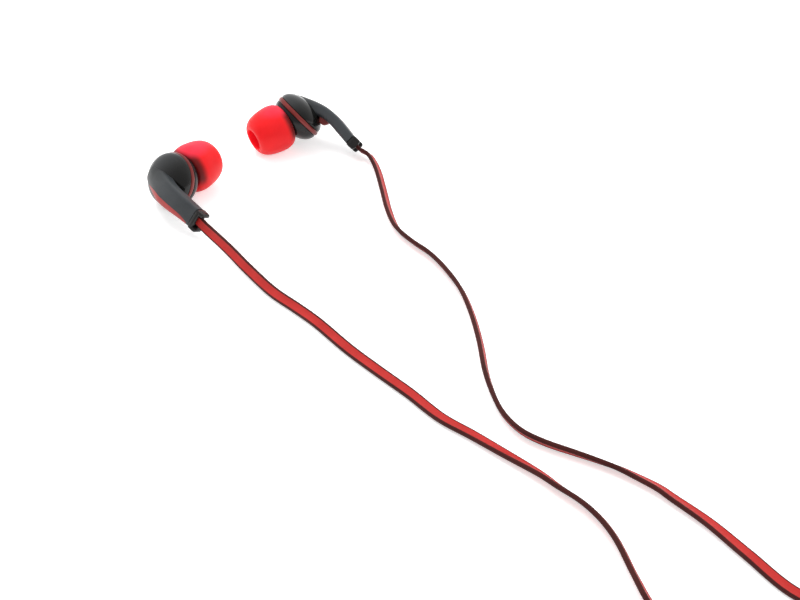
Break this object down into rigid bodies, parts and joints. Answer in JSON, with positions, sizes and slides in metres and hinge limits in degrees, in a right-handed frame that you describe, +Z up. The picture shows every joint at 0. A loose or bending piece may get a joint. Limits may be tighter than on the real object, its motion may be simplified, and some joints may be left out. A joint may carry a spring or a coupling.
{
  "type": "wired earphones",
  "caption": "Wired in-ear earphones: black housings with red silicone tips and trim, red and black flat cords, a cord split, a coiled main cord and a 3.5 mm plug",
  "frame": {"origin": "on the table, under the middle of the two earpieces' bounding box", "axes": "+Z up from the table, +Y away from the viewer of the picture, +X to the viewer's right"},
  "size_m": [0.2158, 0.2122, 0.0138],
  "materials": {
    "red_silicone": "soft matt silicone",
    "gloss_black": "glossy moulded",
    "matte_grey": "satin moulded",
    "accent_red": "metallic red trim",
    "spine_red": "satin moulded",
    "cord_red": "matt soft sleeve",
    "steel": "plain",
    "magnet": "nickel plated",
    "plated": "plated",
    "copper": "enamelled copper",
    "film": "thin polymer film",
    "board_green": "glass-fibre board",
    "black_plastic": "satin moulded"
  },
  "bodies": {
    "body": {"left_nozzle_mesh": "steel", "left_front_housing": "gloss_black", "left_accent_ring": "accent_red", "left_rear_housing": "gloss_black", "left_driver_basket": "black_plastic", "left_driver_yoke": "steel", "left_driver_magnet": "magnet", "left_driver_top_plate": "steel", "left_terminal_board": "board_green", "left_stem_body": "matte_grey", "left_stem_spine": "spine_red", "left_stem_web": "spine_red", "left_lead": "copper", "left_cord_collar": "gloss_black", "left_cord": "cord_red", "right_nozzle_mesh": "steel", "right_front_housing": "gloss_black", "right_accent_ring": "accent_red", "right_rear_housing": "gloss_black", "right_driver_basket": "black_plastic", "right_driver_yoke": "steel", "right_driver_magnet": "magnet", "right_driver_top_plate": "steel", "right_terminal_board": "board_green", "right_stem_body": "matte_grey", "right_stem_spine": "spine_red", "right_stem_web": "spine_red", "right_lead": "copper", "right_cord_collar": "gloss_black", "right_cord": "cord_red", "y_split": "black_plastic", "main_cord": "cord_red", "coil_tie": "black_plastic", "plug_relief": "black_plastic", "plug_grip": "black_plastic", "plug_sleeve": "plated", "plug_insulator_1": "black_plastic", "plug_ring": "plated", "plug_insulator_2": "black_plastic", "plug_tip": "plated"},
    "left_tip": {"left_ear_tip": "red_silicone"},
    "right_tip": {"right_ear_tip": "red_silicone"},
    "left_cone": {"left_diaphragm": "film", "left_voice_coil": "copper"},
    "right_cone": {"right_diaphragm": "film", "right_voice_coil": "copper"}
  },
  "joints": [
    {"name": "left_tip_pull", "type": "slide", "parent": "body", "child": "left_tip", "axis": [0.5916, 0.8062, -0.0038], "range_m": [0, 0.006]},
    {"name": "left_cone_stroke", "type": "slide", "parent": "body", "child": "left_cone", "axis": [0.5242, 0.7113, -0.4682], "range_m": [-0.0002, 0.0002], "stiffness_N_per_m": 5},
    {"name": "right_tip_pull", "type": "slide", "parent": "body", "child": "right_tip", "axis": [-0.8025, -0.5654, -0.1904], "range_m": [0, 0.006]},
    {"name": "right_cone_stroke", "type": "slide", "parent": "body", "child": "right_cone", "axis": [-0.7038, -0.3609, -0.6119], "range_m": [-0.0002, 0.0002], "stiffness_N_per_m": 5}
  ]
}
